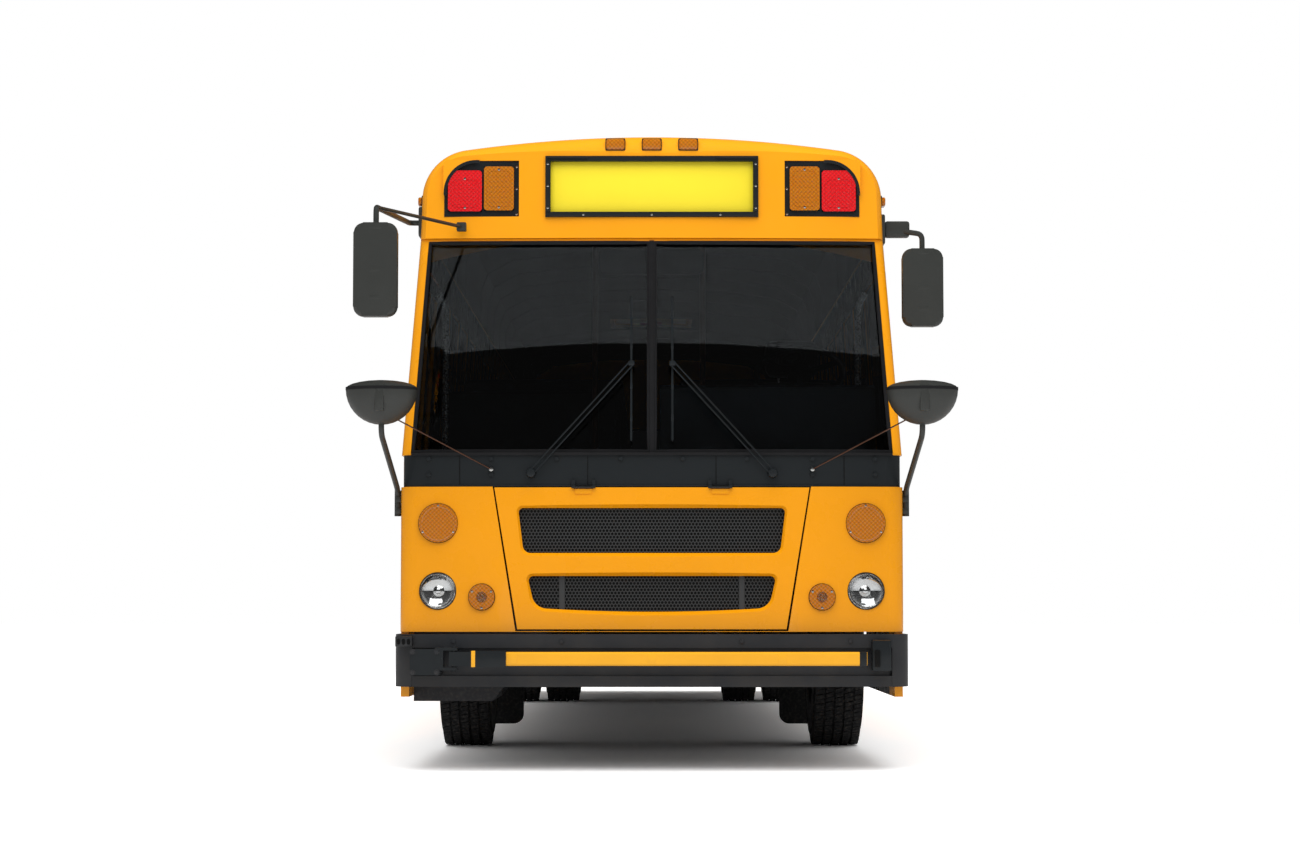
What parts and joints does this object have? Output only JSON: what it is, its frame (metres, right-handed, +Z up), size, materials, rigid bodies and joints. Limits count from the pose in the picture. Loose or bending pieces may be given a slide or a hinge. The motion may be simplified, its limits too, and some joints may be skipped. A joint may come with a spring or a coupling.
{
  "type": "school bus",
  "caption": "Flat-front school bus with rear engine, padded benches, double-leaf entrance door, folding crossing and stop arms, steered front wheels and dual rear wheels.",
  "frame": {"origin": "on the ground under the middle of the whole box", "axes": "+Z up, the bus faces -Y, its left (driver's) side is +X"},
  "size_m": [2.893, 12.7698, 3.1545],
  "materials": {
    "body_yellow": "gloss",
    "cap_yellow": "gloss",
    "trim_black": "satin",
    "bumper_grey": "satin",
    "frame_black": "satin",
    "axle_black": "satin",
    "spring_steel": "satin",
    "wheel_black": "gloss",
    "tyre": "matte",
    "rubber": "matte",
    "clear_glass": "polished",
    "tinted_glass": "polished",
    "amber_lens": "gloss",
    "red_lens": "gloss",
    "clear_lens": "gloss",
    "floor_black": "matte",
    "seat_vinyl": "satin",
    "driver_cloth": "matte",
    "dash_grey": "matte",
    "mesh_black": "satin",
    "sign_red": "gloss",
    "arm_yellow": "satin",
    "engine_grey": "satin",
    "tank_steel": "satin",
    "exhaust_steel": "satin",
    "mirror_black": "satin"
  },
  "bodies": {
    "bus": {"side_wall_left": "body_yellow", "side_wall_right": "body_yellow", "roof": "cap_yellow", "front_cap": "cap_yellow", "rear_wall": "body_yellow", "front_panel": "body_yellow", "cowl": "trim_black", "windshield_frame": "body_yellow", "windshield": "clear_glass", "body_glass": "tinted_glass", "rub_rails": "trim_black", "floor": "floor_black", "stepwell": "floor_black", "chassis_frame": "frame_black", "cross_members": "frame_black", "front_axle": "axle_black", "rear_axle": "axle_black", "leaf_springs": "spring_steel", "engine_and_gearbox": "engine_grey", "tanks": "tank_steel", "exhaust": "exhaust_steel", "bumpers": "bumper_grey", "gate_mounts": "trim_black", "amber_lenses": "amber_lens", "clear_lenses": "clear_lens", "red_lenses": "red_lens", "cap_frames": "trim_black", "mirrors": "mirror_black", "wipers": "trim_black", "mud_flaps": "rubber", "dashboard": "dash_grey", "driver_seat": "driver_cloth", "seat_frames": "frame_black", "seat_cushions": "seat_vinyl", "seat_backs": "seat_vinyl"},
    "knuckle_left": {"knuckle_left": "axle_black"},
    "knuckle_right": {"knuckle_right": "axle_black"},
    "tie_rod": {"tie_rod": "spring_steel"},
    "front_wheel_left": {"front_tyre_left": "tyre", "front_rim_left": "wheel_black"},
    "front_wheel_right": {"front_tyre_right": "tyre", "front_rim_right": "wheel_black"},
    "rear_wheels_left": {"rear_tyres_left": "tyre", "rear_rims_left": "wheel_black"},
    "rear_wheels_right": {"rear_tyres_right": "tyre", "rear_rims_right": "wheel_black"},
    "steering_wheel": {"steering_wheel": "trim_black"},
    "entry_leaf_front": {"entry_leaf_front": "body_yellow", "entry_glass_front": "tinted_glass"},
    "entry_leaf_rear": {"entry_leaf_rear": "body_yellow", "entry_glass_rear": "tinted_glass"},
    "exit_door": {"exit_door": "body_yellow", "exit_glass": "tinted_glass"},
    "front_hatch": {"front_hatch": "body_yellow", "hatch_mesh": "mesh_black"},
    "engine_hatch": {"engine_hatch": "body_yellow"},
    "roof_hatch_front": {"roof_hatch_front": "cap_yellow"},
    "roof_hatch_rear": {"roof_hatch_rear": "cap_yellow"},
    "crossing_arm": {"crossing_arm": "arm_yellow"},
    "stop_arm": {"stop_blade": "sign_red"}
  },
  "joints": [
    {"name": "steer_left", "type": "hinge", "parent": "bus", "child": "knuckle_left", "pos_m": [0.86, -3.295, 0.525], "axis": [0, 0, 1], "range_deg": [-38, 38]},
    {"name": "steer_right", "type": "hinge", "parent": "bus", "child": "knuckle_right", "pos_m": [-0.86, -3.295, 0.525], "axis": [0, 0, 1], "range_deg": [-38, 38]},
    {"name": "tie_rod_swing", "type": "hinge", "parent": "knuckle_left", "child": "tie_rod", "pos_m": [0.86, -3.105, 0.41], "axis": [0, 0, 1], "range_deg": [-38, 38]},
    {"name": "steering_wheel_turn", "type": "hinge", "parent": "bus", "child": "steering_wheel", "pos_m": [0.765, -4.845, 1.99], "axis": [0, 0.5, 0.866], "range_deg": [-760, 760]},
    {"name": "front_roll_left", "type": "hinge", "parent": "knuckle_left", "child": "front_wheel_left", "pos_m": [1.04, -3.295, 0.525], "axis": [1, 0, 0], "continuous": true},
    {"name": "front_roll_right", "type": "hinge", "parent": "knuckle_right", "child": "front_wheel_right", "pos_m": [-1.04, -3.295, 0.525], "axis": [1, 0, 0], "continuous": true},
    {"name": "rear_roll_left", "type": "hinge", "parent": "bus", "child": "rear_wheels_left", "pos_m": [0.892, 3.705, 0.525], "axis": [1, 0, 0], "continuous": true},
    {"name": "rear_roll_right", "type": "hinge", "parent": "bus", "child": "rear_wheels_right", "pos_m": [-0.892, 3.705, 0.525], "axis": [1, 0, 0], "continuous": true},
    {"name": "entry_front_swing", "type": "hinge", "parent": "bus", "child": "entry_leaf_front", "pos_m": [-1.229, -5.311, 1.4], "axis": [0, 0, 1], "range_deg": [0, 90]},
    {"name": "entry_rear_swing", "type": "hinge", "parent": "bus", "child": "entry_leaf_rear", "pos_m": [-1.229, -4.499, 1.4], "axis": [0, 0, -1], "range_deg": [0, 90]},
    {"name": "exit_door_swing", "type": "hinge", "parent": "bus", "child": "exit_door", "pos_m": [1.229, -0.015, 1.7], "axis": [0, 0, -1], "range_deg": [0, 105]},
    {"name": "front_hatch_lift", "type": "hinge", "parent": "bus", "child": "front_hatch", "pos_m": [0, -5.751, 1.364], "axis": [-1, 0, 0], "range_deg": [0, 80]},
    {"name": "engine_hatch_lift", "type": "hinge", "parent": "bus", "child": "engine_hatch", "pos_m": [0, 6.305, 1.4245], "axis": [1, 0, 0], "range_deg": [0, 80]},
    {"name": "roof_hatch_front_lift", "type": "hinge", "parent": "bus", "child": "roof_hatch_front", "pos_m": [0, -2.485, 3.1435], "axis": [1, 0, 0], "range_deg": [0, 60]},
    {"name": "roof_hatch_rear_lift", "type": "hinge", "parent": "bus", "child": "roof_hatch_rear", "pos_m": [0, 2.615, 3.1435], "axis": [1, 0, 0], "range_deg": [0, 60]},
    {"name": "crossing_arm_swing", "type": "hinge", "parent": "bus", "child": "crossing_arm", "pos_m": [-0.94, -5.895, 0.539], "axis": [0, 0, -1], "range_deg": [0, 100]},
    {"name": "stop_arm_swing", "type": "hinge", "parent": "bus", "child": "stop_arm", "pos_m": [1.253, -4.225, 1.18], "axis": [0, 0, -1], "range_deg": [0, 90]}
  ],
  "couplings": [
    {"joint": "steer_right", "follows": "steer_left", "ratio": 1},
    {"joint": "tie_rod_swing", "follows": "steer_left", "ratio": -1},
    {"joint": "steering_wheel_turn", "follows": "steer_left", "ratio": 20}
  ]
}
